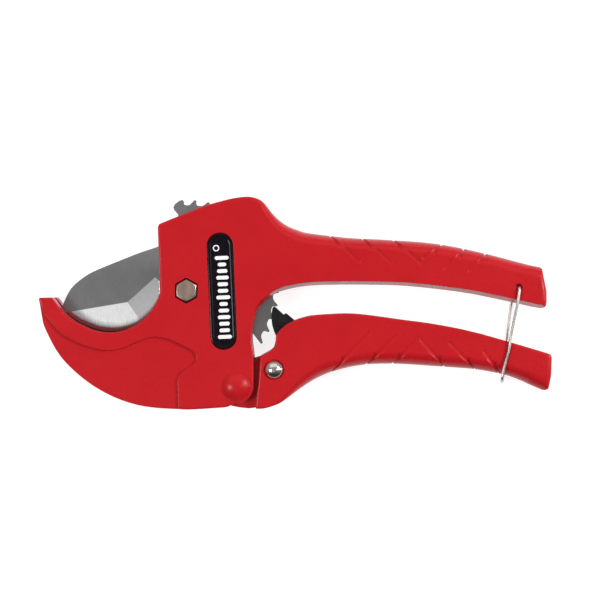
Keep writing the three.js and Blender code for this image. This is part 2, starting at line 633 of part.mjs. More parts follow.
// ---- assembly ----
const RED = { color: 0xc2212a, metalness: 0.0, roughness: 0.35 };
const STEEL = { color: 0x8e8e90, metalness: 1.0, roughness: 0.38 };
const NICKEL = { color: 0xc9c4bb, metalness: 1.0, roughness: 0.2 };
const ZINC = { color: 0xa39a8c, metalness: 0.9, roughness: 0.45 };
const BLACK = { color: 0x1b1a1e, metalness: 0.0, roughness: 0.4 };
const SPRING = { color: 0x55565a, metalness: 0.9, roughness: 0.4 };
const NYLON = { color: 0x3c5f9c, metalness: 0.0, roughness: 0.6 };
const BRASS = { color: 0xb49a55, metalness: 1.0, roughness: 0.4 };

const H = HANDLE_PIVOT;
const Q = PAWL_PIVOT;
const pieces = {
  body_casting: [bodyCasting(), RED],
  movable_handle: [movableHandle(), RED],
  blade: [blade(), STEEL],
  blade_bolt: [bladeBolt(), ZINC],
  blade_bushing: [ring(0, 0, BOLT_R + RUN, BUSH_R, SHIM_BACK[0], SHIM_FRONT[1], 32), BRASS],
  blade_shim_front: [ring(0, 0, BUSH_R + FIT, SHIM_R, ...SHIM_FRONT, 32), STEEL],
  blade_shim_back: [ring(0, 0, BUSH_R + FIT, SHIM_R, ...SHIM_BACK, 32), STEEL],
  blade_nut_washer: [ring(0, 0, 2.8, NUT_WASHER_R, ...NUT_WASHER), ZINC],
  blade_disc_spring: [discSpring(), SPRING],
  blade_nut: [bladeNut(), ZINC],
  blade_nut_insert: [ring(0, 0, BOLT_R + RUN, NUT_INSERT_R, ...NUT_INSERT), NYLON],
  handle_pivot_pin: [rivet(H, HANDLE_PIN), RED],
  handle_pin_washer: [ring(H.x, H.y, HANDLE_PIN.shank + RUN, 4.5, ...HANDLE_PIN_WASHER), ZINC],
  handle_pivot_bushing: [ring(H.x, H.y, HANDLE_PIN.shank + RUN, 3.3, ...HANDLE_BUSH), BRASS],
  return_spring: [returnSpring(), SPRING],
  pawl: [pawl(), BLACK],
  pawl_nose_pin: [rod(NOSE.x, NOSE.y, NOSE.r, NOSE_HOLE[0] + RUN, NOSE_HOLE[1] - RUN, 16), STEEL],
  pawl_pin: [rivet(Q, PAWL_PIN), NICKEL],
  pawl_pin_washer: [ring(Q.x, Q.y, PAWL_PIN.shank + RUN, 3.9, ...PAWL_PIN_WASHER), ZINC],
  pawl_bushing: [ring(Q.x, Q.y, PAWL_PIN.shank + RUN, PAWL_BUSH_R, ...PAWL_BUSH), BRASS],
  pawl_spring: [pawlSpring(), SPRING],
  lock_bail: [lockBail(), NICKEL],
  label_plate: [labelField(0, ...LABEL_PLATE), BLACK],
};

const group = new THREE.Group();
for (const [name, [body, finish]] of Object.entries(pieces)) {
  const mesh = new THREE.Mesh(geometryOf(body), new THREE.MeshStandardMaterial(finish));
  mesh.name = name;
  group.add(mesh);
}

// The origin is the middle of the back face's bounding rectangle.
const box = new THREE.Box3().setFromObject(group);
const middle = box.getCenter(new THREE.Vector3());
for (const mesh of group.children) mesh.geometry.translate(-middle.x, -middle.y, -box.min.z);

export default group;
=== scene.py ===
"""Looks of a ratcheting plastic-pipe cutter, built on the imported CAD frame.

Metres, unless a comment says millimetres. The tool lies on its back face.
"""

import json
import math

import bmesh
import bpy
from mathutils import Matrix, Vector
from mathutils.geometry import intersect_line_line_2d

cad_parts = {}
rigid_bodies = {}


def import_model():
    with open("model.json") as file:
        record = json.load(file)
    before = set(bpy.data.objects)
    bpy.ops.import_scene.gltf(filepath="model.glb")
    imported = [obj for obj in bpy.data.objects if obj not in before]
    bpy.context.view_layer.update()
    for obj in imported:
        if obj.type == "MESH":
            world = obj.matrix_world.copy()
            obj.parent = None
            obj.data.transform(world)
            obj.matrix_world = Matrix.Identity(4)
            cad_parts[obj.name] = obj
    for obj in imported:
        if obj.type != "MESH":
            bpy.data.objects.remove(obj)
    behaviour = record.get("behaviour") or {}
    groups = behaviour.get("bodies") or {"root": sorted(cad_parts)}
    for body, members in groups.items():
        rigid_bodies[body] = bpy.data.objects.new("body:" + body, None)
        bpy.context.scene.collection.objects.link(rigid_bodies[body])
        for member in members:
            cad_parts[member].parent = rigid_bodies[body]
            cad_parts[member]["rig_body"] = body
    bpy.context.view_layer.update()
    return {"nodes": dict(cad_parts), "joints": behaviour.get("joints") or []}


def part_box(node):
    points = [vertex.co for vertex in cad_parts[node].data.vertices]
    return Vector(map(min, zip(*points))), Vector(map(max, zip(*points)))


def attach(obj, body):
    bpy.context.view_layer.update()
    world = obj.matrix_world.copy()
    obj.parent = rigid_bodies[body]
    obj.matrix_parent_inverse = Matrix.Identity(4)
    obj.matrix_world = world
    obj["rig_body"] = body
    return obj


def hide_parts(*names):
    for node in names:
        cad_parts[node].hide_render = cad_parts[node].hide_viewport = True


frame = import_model()

MM = 0.001
JOINT_AT = {joint["name"]: Vector(joint["pos_m"]) for joint in frame["joints"]}
BLADE_PIVOT = JOINT_AT["blade_pivot"]
HANDLE_PIVOT = JOINT_AT["handle_pivot"]
PAWL_PIVOT = JOINT_AT["pawl_pivot"]
FACE_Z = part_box("body_casting")[1].z  # front face of the head
LABEL_LOW, LABEL_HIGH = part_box("label_plate")

# The camera looks straight down on the front face, over the middle of the tool.
CAMERA_X = 45.75 * MM  # from the blade pivot towards +X
CAMERA_Y = 3.74 * MM  # from the blade pivot towards -Y
CAMERA_RISE = 650 * MM  # above the front face
CAMERA_AT = Vector((BLADE_PIVOT.x + CAMERA_X, BLADE_PIVOT.y - CAMERA_Y, FACE_Z + CAMERA_RISE))
CAMERA_LENS = 97.0
CAMERA_SENSOR = 36.0

# A hexagon rounds off to five sixths of its radius, so each wire is swelled first.
WIRE_SWELL = {"lock_bail": 0.12 * MM, "return_spring": 0.11 * MM, "pawl_spring": 0.07 * MM}

# How pieces are cleaned, eased and shaded. Angles are in degrees.
COPY_WELD = 0.004 * MM
COPY_FLAT = 0.3  # edges that turn by less are dissolved
COPY_SHARP = 35
CASTING_WELD = 0.12 * MM
CASTING_SLIVER = 0.08 * MM  # shorter edges and thinner faces are dissolved
CASTING_SHARP = 32
CASTING_SMOOTH = 38
CASTING_EASE = 0.2 * MM
EASE_SEGMENTS = 2
TURNED_SIDES = 72
TURNED_SMOOTH = 40
ANY_ANGLE = 3.1  # radians, so that every pair of triangles may be joined


# ---- small helpers ----
def link(obj):
    bpy.context.scene.collection.objects.link(obj)
    return obj


def mesh_object(name, build):
    """A new mesh object whose shape build(bm) makes."""
    mesh = bpy.data.meshes.new(name)
    bm = bmesh.new()
    build(bm)
    bmesh.ops.recalc_face_normals(bm, faces=bm.faces)
    bm.to_mesh(mesh)
    bm.free()
    return link(bpy.data.objects.new(name, mesh))


def smooth_shade(obj, angle):
    for polygon in obj.data.polygons:
        polygon.use_smooth = True
    obj.data.set_sharp_from_angle(angle=math.radians(angle))


def finished_copy(node, rounding=0.0, angle=COPY_SHARP):
    """A welded copy of a CAD node with its sharp edges eased, which stands for that node."""
    mesh = frame["nodes"][node].data.copy()
    for attribute in [a for a in mesh.attributes if a.name == "custom_normal"]:
        mesh.attributes.remove(attribute)
    bm = bmesh.new()
    bm.from_mesh(mesh)
    bmesh.ops.remove_doubles(bm, verts=bm.verts, dist=COPY_WELD)
    bmesh.ops.dissolve_limit(bm, angle_limit=math.radians(COPY_FLAT), verts=bm.verts, edges=bm.edges)
    bm.to_mesh(mesh)
    bm.free()
    mesh.name = node + "_look"
    piece = link(bpy.data.objects.new(node + "_look", mesh))
    piece.data.materials.clear()
    smooth_shade(piece, angle)
    if rounding:
        bevel = piece.modifiers.new("eased edges", "BEVEL")
        bevel.width = rounding
        bevel.segments = EASE_SEGMENTS
        bevel.limit_method = "ANGLE"
        bevel.angle_limit = math.radians(angle)
        bevel.harden_normals = True
    stand_in(piece, node)
    return piece


def round_wire(node):
    """Rounds a CAD wire, which has six flat sides, by joining its triangles and subdividing the quads."""
    piece = finished_copy(node)
    bm = bmesh.new()
    bm.from_mesh(piece.data)
    bmesh.ops.join_triangles(
        bm, faces=bm.faces, angle_face_threshold=ANY_ANGLE, angle_shape_threshold=ANY_ANGLE
    )
    bm.to_mesh(piece.data)
    bm.free()
    smooth_shade(piece, 180)
    swell = piece.modifiers.new("make up for the rounding", "DISPLACE")
    swell.mid_level = 0
    swell.strength = WIRE_SWELL[node]
    rounder = piece.modifiers.new("round section", "SUBSURF")
    rounder.levels = rounder.render_levels = 2
    return piece


def stand_in(piece, node):
    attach(piece, frame["nodes"][node]["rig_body"])
    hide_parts(node)


def turned(name, centre, profile):
    """A solid of revolution about a vertical axis.

    The profile is (radius, height) pairs from axis to axis.
    """

    def build(bm):
        turns = [2 * math.pi * i / TURNED_SIDES for i in range(TURNED_SIDES)]
        rings = []
        for radius, height in profile:
            if radius == 0:
                rings.append([bm.verts.new((centre.x, centre.y, height))])
                continue
            ring = []
            for t in turns:
                x = centre.x + radius * math.cos(t)
                y = centre.y + radius * math.sin(t)
                ring.append(bm.verts.new((x, y, height)))
            rings.append(ring)
        for low, high in zip(rings, rings[1:]):
            for i in range(TURNED_SIDES):
                j = (i + 1) % TURNED_SIDES
                around = [low[i % len(low)], low[j % len(low)], high[j % len(high)], high[i % len(high)]]
                unique = list(dict.fromkeys(around))
                if len(unique) > 2:
                    bm.faces.new(unique)

    obj = mesh_object(name, build)
    smooth_shade(obj, TURNED_SMOOTH)
    return obj


# ---- outlines, in millimetres about the blade pivot ----
THICK = 20.0
MID = THICK / 2
TAPER_FROM = 45.0
TAPER_PER_MM = 0.00177
# A cast edge: its rounding in plan, its rounding in height, and how straight its flank is,
# from 0 for a quarter ellipse to 1 for a plain slope.
SPINE_EDGE = (5.0, 8.0, 0.0)
RIM_EDGE = (1.0, 0.6, 0.0)
PALM_EDGE = (1.3, 9.0, 1.0)
END_EDGE = (2.0, 1.2, 0.0)
HOOK_EDGE = (1.3, 2.2, 0.0)
EDGE_STEPS = 9
# Where one edge gives way to the next: limits in x and y.
BODY_END = (143.75, -6.9)
SPINE_ABOVE = 8
SPINE_BLEND = (22, 24)  # start and length along x
PALM_ABOVE = -12
PALM_BLEND = (27, 8)
HOOK_BELOW = (-2, -5)
HOOK_CLEAR = 25  # least distance of the hook's edge from the centre of the cradle
HANDLE_END = 146.35
HANDLE_PALM = (30, -28)
HANDLE_BLEND = (34, 20)

GROOVE_RIM = 1.2  # half the width of a grip groove at the skin
GROOVE_FLOOR = 0.5  # half the width of its floor
GROOVE_DEPTH = 0.55
GROOVE_LIFT = 0.4  # the cutter stands this far proud of the skin
GROOVE_SEARCH = 40  # the outline is looked for within this distance of the inner end
GROOVE_FLAT_STEPS = 3
GROOVE_ROUND_STEPS = 10
GROOVE_END_TURNS = (12, 35, 60, 85)  # degrees round the inner end

CRADLE = (-31.35, 4.58, 21.4)  # the pipe seat: x, y and radius

# Cuts in the castings. A pair is the lower and the upper height.
PROUD = 1  # how far a cutter stands out of the face it enters
THROUGH = (-1, 21)
BLADE_SLOT = (7.7, 12.3)
BLADE_SWEEP = 37.8
JAW_SWEEP = 27.6
HUB_RADIUS = 11.6
EAR_POCKET = (3.6, 16.4)
EAR_POCKET_RADIUS = 9.4
FLANK_DEPTH = 1
CORE = (3.2, 16.8)
CORE_FROM = 50
SPINE_WALL = 3.6
PALM_WALL = 4.4
HANDLE_WALL = 3.6
EAR_GAP = (6.5, 13.5)
EAR_BACK = (3.9, 6.5)
EAR_FRONT = (13.5, 16.1)
EAR_RADIUS = 8.3
LABEL_SEAT = 0.9
LABEL_GAP = 0.4
BOLT_FLATS = 9.1
BOLT_SEAT = 3.4
NUT_WELL = (5.5, 5.4)  # radius and depth, as in the next three
HANDLE_PIN_WELL = (4.8, 2.0)
PAWL_PIN_WELL = (4.2, 1.8)
DOME_SEAT = (4.1, 0.6)
BODY_HOLE = 2.6  # radius, as in the next four
EAR_HOLE = 2.56
PAWL_PIN_HOLE = 2.1
BAIL_HOLE = 0.8
BAIL_HOLE_FRONT = 1.35

SPLINE_SPACING = 1.2
SPLINE_CUTS = 24  # for each span, before it is cut into even steps
NEARLY_STRAIGHT = 0.15  # sine of the turn below which a corner is moved along its bisector
CORNER_REACH = 2.6  # in radii
CORNER_CUTS = 8  # for each radius of arc
CAPSULE_CUTS = 12  # for each width of arc


def spline(points):
    """A smooth line through the points, cut into even steps."""
    before = [2 * a - b for a, b in zip(points[0], points[1])]
    after = [2 * a - b for a, b in zip(points[-1], points[-2])]
    knots = [Vector(p) for p in [before, *points, after]]
    fine = []
    for a, b, c, d in zip(knots, knots[1:], knots[2:], knots[3:]):
        bend = 2 * a - 5 * b + 4 * c - d
        twist = 3 * b - a - 3 * c + d
        for i in range(SPLINE_CUTS):
            t = i / SPLINE_CUTS
            fine.append(0.5 * (2 * b + (c - a) * t + bend * t**2 + twist * t**3))
    fine.append(knots[-2])
    run = [0.0]
    for p, q in zip(fine, fine[1:]):
        run.append(run[-1] + (q - p).length)
    count = max(2, round(run[-1] / SPLINE_SPACING))
    line = []
    spot = 0
    for i in range(count + 1):
        goal = run[-1] * i / count
        while spot + 2 < len(run) and run[spot + 1] < goal:
            spot += 1
        share = (goal - run[spot]) / (run[spot + 1] - run[spot])
        line.append(fine[spot].lerp(fine[spot + 1], min(share, 1.0)))
    return line


def arc(x, y, radius, start, end, spacing=0.8):
    count = max(4, round(abs(math.radians(end - start)) * radius / spacing))
    turns = [math.radians(start + (end - start) * i / count) for i in range(count + 1)]
    return [Vector((x + radius * math.cos(t), y + radius * math.sin(t))) for t in turns]


def corners(*points):
    return [Vector(p) for p in points]


def pivot_mm(joint):
    at = (JOINT_AT[joint] - BLADE_PIVOT) / MM
    return at.x, at.y


HANDLE_AT = pivot_mm("handle_pivot")
PAWL_AT = pivot_mm("pawl_pivot")
BAIL_AT = pivot_mm("bail_pivot")

LABEL_AT = ((LABEL_LOW + LABEL_HIGH) / 2 - BLADE_PIVOT) / MM
LABEL_WIDTH = 10.2
LABEL_LENGTH = 46.8
LABEL_TILT = 2.4  # degrees
LABEL_SUNK = 0.12
MARK_COUNT = 13  # plain bars across the label
MARK_FROM = -18.4
MARK_PITCH = 2.65
MARK_WIDTH = 1.5
MARK_LENGTHS = (5.6, 4.2, 4.2, 5.0, 4.2, 3.4)
MARK_SHIFT = 0.5
MARK_RING = (17.4, -2.1, 1.3)  # along the label, across it, outer radius
MARK_RING_WALL = 0.45
MARK_SUNK = 0.05
MARK_PROUD = 0.06
LABEL_SMOOTH = 12

# Lines that the outlines share with the hollows inside them.
SPINE_LINE = [
    (139.2, 10.5), (132.3, 12.3), (121.9, 15.0), (108.1, 18.0), (96.3, 19.7), (80.4, 20.8), (66.5, 21.5),
    (57.8, 22.4), (48.6, 23.6),
]
PALM_LINE = [
    (45.0, -40.2), (50.6, -36.6), (56.1, -33.9), (63.0, -31.7), (70.0, -30.3), (76.9, -29.7), (87.3, -29.8),
    (101.1, -30.7), (115.0, -31.7), (121.9, -32.7), (129.5, -34.3), (135.8, -36.6), (138.6, -37.9),
]
PALM_INNER = [
    (40.5, 0.6), (48.6, 2.0), (59.6, 2.5), (73.4, 2.5), (87.3, 2.1), (101.1, 0.8), (115.0, -1.1),
    (128.8, -3.9), (141.5, -6.75),
]

# The middle line of each grip groove, from its inner end towards the edge.
BODY_GROOVES = [
    (69.7, 11.5, 59.4, 21.0),
    (82.5, 11.3, 71.9, 20.4),
    (94.4, 11.1, 84.3, 20.0),
    (95.6, 13.1, 102.4, 18.0),
    (104.4, 9.1, 112.1, 16.8),
    (114.1, 8.1, 120.9, 14.8),
]
HANDLE_GROOVES = [
    (73.9, -17.0, 59.8, -31.5),
    (84.3, -18.5, 73.5, -29.1),
    (93.6, -19.4, 84.3, -28.7),
    (94.8, -20.0, 102.7, -28.9),
    (106.4, -21.5, 116.1, -30.9),
    (120.1, -24.8, 125.5, -31.9),
]

# Rounded corners of the jaw tip and the handle end: centre, radius and the arc's two directions.
BODY_CORNERS = [
    (-58.55, -3.75, 1.0, 88, 180),
    (-54.35, -3.75, 1.0, 28, 90),
    (143.77, -5.51, 1.6, -99.5, 0.8),
    (142.38, 8.02, 1.6, 9.1, 75.4),
]
HANDLE_CORNER = (144.48, -38.09, 2.2, -113.8, -7)


def body_outline():
    hook = [(-59.4, -2.8), (-58.5, -9.4), (-56.8, -15.8), (-49.6, -28.0), (-36.3, -39.2), (-20.6, -45.9),
            (-2.8, -47.8), (13.6, -47.1), (17.0, -46.6)]
    inner = [(27.1, -33.0), (27.0, -26.0), (26.4, -21.0), (26.3, -18.0), (26.7, -14.5), (27.9, -9.2),
             (29.4, -6.2), (32.4, -3.7), (36.0, -1.2), *PALM_INNER]
    crown = [(44.5, 24.8), (40.6, 26.4), (38.0, 28.1), (35.4, 30.4), (33.3, 32.9), (31.6, 35.1),
             (29.9, 36.6), (27.6, 37.5), (25.1, 37.9), (20.3, 37.5), (14.1, 36.1), (6.4, 33.8),
             (-1.2, 30.8), (-9.2, 27.6)]
    lip = [(-43.9, -13.2), (-47.4, -10.8), (-49.7, -8.6), (-51.4, -6.4), (-53.2, -3.8)]
    return [
        *spline(hook),
        *arc(*HANDLE_AT, 6.9, -95, 0, 1.0),
        *spline(inner),
        *corners((143.3, -7.05), (145.4, -7.4), (145.36, -4.4), (145.3, -0.1), (143.8, 9.3)),
        *spline(SPINE_LINE + crown),
        *corners((-11.0, 26.8), (-11.5, 25.6), (-11.3, 19.1), (-10.8, 12.2)),
        *arc(*CRADLE, -14.9, -120),
        *spline(lip),
        *corners((-54.2, -2.7)),
    ]


def handle_outline():
    crest = [(142.7, -24.3), (128.1, -20.0), (115.0, -16.4), (101.1, -13.6), (87.3, -11.7), (73.4, -9.8),
             (65.8, -9.2), (58.9, -9.4), (50.7, -10.0), (46.6, -10.9), (43.3, -12.1), (40.4, -13.5),
             (37.5, -16.0), (36.1, -18.0), (35.9, -20.1), (34.7, -23.4), (29.8, -26.4)]
    return [
        *spline([(27.9, -47.5), (30.9, -47.5), (34.7, -46.5), (38.6, -44.8), *PALM_LINE]),
        *corners((146.3, -41.3), (147.2, -34.0), (147.45, -27.1), (146.9, -25.6)),
        *spline(crest),
        *corners((29.5, -30.0), (29.0, -37.5), (28.4, -41.4)),
    ]


def blend(start, end, share):
    """An edge between two others, with an even start and finish."""
    share = min(max(share, 0.0), 1.0)
    share = share * share * (3 - 2 * share)
    return tuple(a + (b - a) * share for a, b in zip(start, end))


def body_edge(p):
    if p.x > BODY_END[0] and p.y > BODY_END[1]:
        return END_EDGE
    if p.y > SPINE_ABOVE and p.x > SPINE_BLEND[0]:
        return blend(RIM_EDGE, SPINE_EDGE, (p.x - SPINE_BLEND[0]) / SPINE_BLEND[1])
    if p.x > PALM_BLEND[0] and p.y > PALM_ABOVE:
        return blend(RIM_EDGE, PALM_EDGE, (p.x - PALM_BLEND[0]) / PALM_BLEND[1])
    from_cradle = math.hypot(p.x - CRADLE[0], p.y - CRADLE[1])
    if p.x < HOOK_BELOW[0] and p.y < HOOK_BELOW[1] and from_cradle > HOOK_CLEAR:
        return HOOK_EDGE
    return RIM_EDGE


def handle_edge(p):
    if p.x > HANDLE_END:
        return END_EDGE
    if p.y > HANDLE_PALM[1] or p.x < HANDLE_PALM[0]:
        return RIM_EDGE
    return blend(RIM_EDGE, SPINE_EDGE, (p.x - HANDLE_BLEND[0]) / HANDLE_BLEND[1])


# ---- solids ----
def placed(x, y, z):
    """A spot in metres from millimetres about the blade pivot and above the back face."""
    return (BLADE_PIVOT.x + x * MM, BLADE_PIVOT.y + y * MM, z * MM)


def inset(outline, depths):
    """Moves each edge of a closed outline inwards by its own depth."""
    count = len(outline)
    inward = []
    for p, q in zip(outline, outline[1:] + outline[:1]):
        inward.append(Vector((p.y - q.y, q.x - p.x)).normalized())
    moved = []
    for i in range(count):
        before, after = inward[i - 1], inward[i]
        cross = before.x * after.y - before.y * after.x
        if abs(cross) < NEARLY_STRAIGHT:
            moved.append(outline[i] + (before + after).normalized() * (depths[i] + depths[i - 1]) / 2)
            continue
        x = (depths[i - 1] * after.y - depths[i] * before.y) / cross
        y = (depths[i] * before.x - depths[i - 1] * after.x) / cross
        moved.append(outline[i] + Vector((x, y)))
    return moved


def lofted(name, rings):
    """A closed skin through rings of equal length, capped at both ends."""

    def build(bm):
        loops = [[bm.verts.new(spot) for spot in ring] for ring in rings]
        for low, high in zip(loops, loops[1:]):
            for i in range(len(low)):
                bm.faces.new((low[i - 1], low[i], high[i], high[i - 1]))
        bm.faces.new(list(reversed(loops[0])))
        bm.faces.new(loops[-1])

    return mesh_object(name, build)


def rounded_plate(name, outline, edge_of):
    """A plate about the middle height, with edges rounded as edge_of says along the outline."""
    edges = [edge_of((p + q) / 2) for p, q in zip(outline, outline[1:] + outline[:1])]
    loops = []
    for i in range(EDGE_STEPS + 1):
        lean = i / EDGE_STEPS
        turn = lean * math.pi / 2
        out = [e[0] * ((1 - e[2]) * (1 - math.cos(turn)) + e[2] * lean) for e in edges]
        drop = [e[1] * ((1 - e[2]) * (1 - math.sin(turn)) + e[2] * (1 - lean)) for e in edges]
        heights = [MID - (drop[k] + drop[k - 1]) / 2 for k in range(len(edges))]
        loops.append((inset(outline, out), heights))

    rings = []
    for side, levels in ((-1, reversed(loops)), (1, loops)):
        for flat, heights in levels:
            rings.append([placed(p.x, p.y, MID + side * h) for p, h in zip(flat, heights)])
    return lofted(name, rings)


def prism(name, outlines, z0, z1):
    """Upright prisms of the same height, one for each outline."""

    def build(bm):
        for outline in outlines:
            low = [bm.verts.new(placed(p.x, p.y, z0)) for p in outline]
            high = [bm.verts.new(placed(p.x, p.y, z1)) for p in outline]
            for i in range(len(low)):
                bm.faces.new((low[i - 1], low[i], high[i], high[i - 1]))
            bm.faces.new(list(reversed(low)))
            bm.faces.new(high)

    return mesh_object(name, build)


def circle(x, y, radius, sides=64):
    turns = [2 * math.pi * i / sides for i in range(sides)]
    return [Vector((x + radius * math.cos(t), y + radius * math.sin(t))) for t in turns]


def capsule(ax, ay, bx, by, width):
    """The outline of a bar with round ends, whose centres are given."""
    turn = math.degrees(math.atan2(by - ay, bx - ax))
    spacing = width / CAPSULE_CUTS
    near = arc(ax, ay, width / 2, turn + 90, turn + 270, spacing)
    far = arc(bx, by, width / 2, turn - 90, turn + 90, spacing)
    return near + far


def hexagon(x, y, flats):
    radius = flats / math.sqrt(3)
    turns = [math.radians(30 + 60 * i) for i in range(6)]
    return [Vector((x + radius * math.cos(t), y + radius * math.sin(t))) for t in turns]


def baked(obj):
    """Writes the modifiers of a piece into its mesh."""
    bpy.context.view_layer.update()
    result = bpy.data.meshes.new_from_object(obj.evaluated_get(bpy.context.evaluated_depsgraph_get()))
    obj.modifiers.clear()
    obj.data = result
    return obj


def combined(obj, others, operation):
    """Cuts or joins solids and leaves one plain mesh."""
    for other in others:
        step = obj.modifiers.new(operation.lower(), "BOOLEAN")
        step.operation = operation
        step.solver = "EXACT"
        step.object = other
    baked(obj)
    for other in others:
        bpy.data.objects.remove(other)
    return obj


def tapered(obj):
    """Thins a casting evenly about the middle height beyond TAPER_FROM."""
    fold = placed(TAPER_FROM, 0, 0)
    bm = bmesh.new()
    bm.from_mesh(obj.data)
    everything = [*bm.verts, *bm.edges, *bm.faces]
    bmesh.ops.bisect_plane(bm, geom=everything, plane_co=fold, plane_no=(1, 0, 0), dist=0.001 * MM)
    for v in bm.verts:
        past = max(0.0, (v.co.x - fold[0]) / MM)
        v.co.z = MID * MM + (v.co.z - MID * MM) * (1 - TAPER_PER_MM * past)
    bm.to_mesh(obj.data)
    bm.free()
    return obj


def eased(obj):
    """Breaks the sharp edges of a casting."""
    bm = bmesh.new()
    bm.from_mesh(obj.data)
    bmesh.ops.remove_doubles(bm, verts=bm.verts, dist=CASTING_WELD)
    bmesh.ops.dissolve_degenerate(bm, edges=bm.edges, dist=CASTING_SLIVER)
    bm.to_mesh(obj.data)
    bm.free()
    bevel = obj.modifiers.new("eased edges", "BEVEL")
    bevel.width = CASTING_EASE
    bevel.segments = EASE_SEGMENTS
    bevel.limit_method = "ANGLE"
    bevel.angle_limit = math.radians(CASTING_SHARP)
    bevel.use_clamp_overlap = False
    return baked(obj)


def settled(obj):
    """Shades a casting smooth and keeps its flat faces flat."""
    smooth_shade(obj, CASTING_SMOOTH)
    weigh = obj.modifiers.new("flat faces stay flat", "WEIGHTED_NORMAL")
    weigh.keep_sharp = True


def groove_path(start, along, outline, edge_of):
    """The way a groove follows the skin, from its inner end to the middle height of the edge.

    Each point is the run from the inner end and the height above the middle of the plate.
    """
    crossings = []
    for p, q in zip(outline, outline[1:] + outline[:1]):
        spot = intersect_line_line_2d(start, start + along * GROOVE_SEARCH, p, q)
        if spot is not None:
            square = abs(along.cross((q - p).normalized()))
            crossings.append(((spot - start).length, square, edge_of((p + q) / 2)))
    reach, square, edge = min(crossings)
    across, drop = edge[:2]
    flat = reach - across / square
    path = [(flat * i / GROOVE_FLAT_STEPS, MID) for i in range(GROOVE_FLAT_STEPS)]
    for i in range(GROOVE_ROUND_STEPS + 1):
        turn = math.pi / 2 * (1 - i / GROOVE_ROUND_STEPS)
        run = reach - across * (1 - math.cos(turn)) / square
        path.append((run, MID - drop * (1 - math.sin(turn))))
    return path


def groove(line, outline, edge_of):
    """The solid that cuts one grip groove.

    It is a trapezoid swept over the front, round the edge and over the back.
    """
    start = Vector(line[:2])
    along = (Vector(line[2:]) - start).normalized()
    over = GROOVE_RIM + GROOVE_LIFT * (GROOVE_RIM - GROOVE_FLOOR) / GROOVE_DEPTH
    rings = []
    for turn in GROOVE_END_TURNS:
        c, s = math.cos(math.radians(turn)), math.sin(math.radians(turn))
        top = (-over * c, over * s, MID + GROOVE_LIFT)
        foot = (-GROOVE_FLOOR * c, GROOVE_FLOOR * s, MID - GROOVE_DEPTH)
        rings.append([top, foot])
    path = groove_path(start, along, outline, edge_of)
    for i, (run, height) in enumerate(path):
        before, after = path[max(i - 1, 0)], path[min(i + 1, len(path) - 1)]
        out = Vector((before[1] - after[1], after[0] - before[0])).normalized()
        if i + 1 == len(path):
            out = Vector((1, 0))
        ring = []
        for lift, half in ((GROOVE_LIFT, over), (-GROOVE_DEPTH, GROOVE_FLOOR)):
            ring.append((run + out.x * lift, half, height + out.y * lift))
        rings.append(ring)
    rings += [[(run, half, -height) for run, half, height in ring] for ring in reversed(rings)]

    skin = []
    for (top_run, top_half, top_height), (foot_run, foot_half, foot_height) in rings:
        ring = []
        for run, side, height in (
            (top_run, -top_half, top_height),
            (top_run, top_half, top_height),
            (foot_run, foot_half, foot_height),
            (foot_run, -foot_half, foot_height),
        ):
            spot = start + along * run + along.orthogonal() * side
            ring.append(placed(spot.x, spot.y, MID + height))
        skin.append(ring)
    return tapered(lofted("groove", skin))


def grooved(obj, lines, outline, edge_of):
    cutters = [groove(line, outline, edge_of) for line in lines]
    return combined(obj, cutters, "DIFFERENCE")


def label_outline(grow):
    reach = (LABEL_LENGTH - LABEL_WIDTH) / 2
    lean = math.radians(90 + LABEL_TILT)
    dx, dy = math.cos(lean) * reach, math.sin(lean) * reach
    width = LABEL_WIDTH + grow
    return capsule(LABEL_AT.x - dx, LABEL_AT.y - dy, LABEL_AT.x + dx, LABEL_AT.y + dy, width)


def corner_round(x, y, radius, start, end):
    """The outline of what is left outside a round that runs about (x, y)."""
    middle = math.radians((start + end) / 2)
    reach = radius * CORNER_REACH
    beyond = Vector((x + reach * math.cos(middle), y + reach * math.sin(middle)))
    return [*reversed(arc(x, y, radius, start, end, radius / CORNER_CUTS)), beyond]


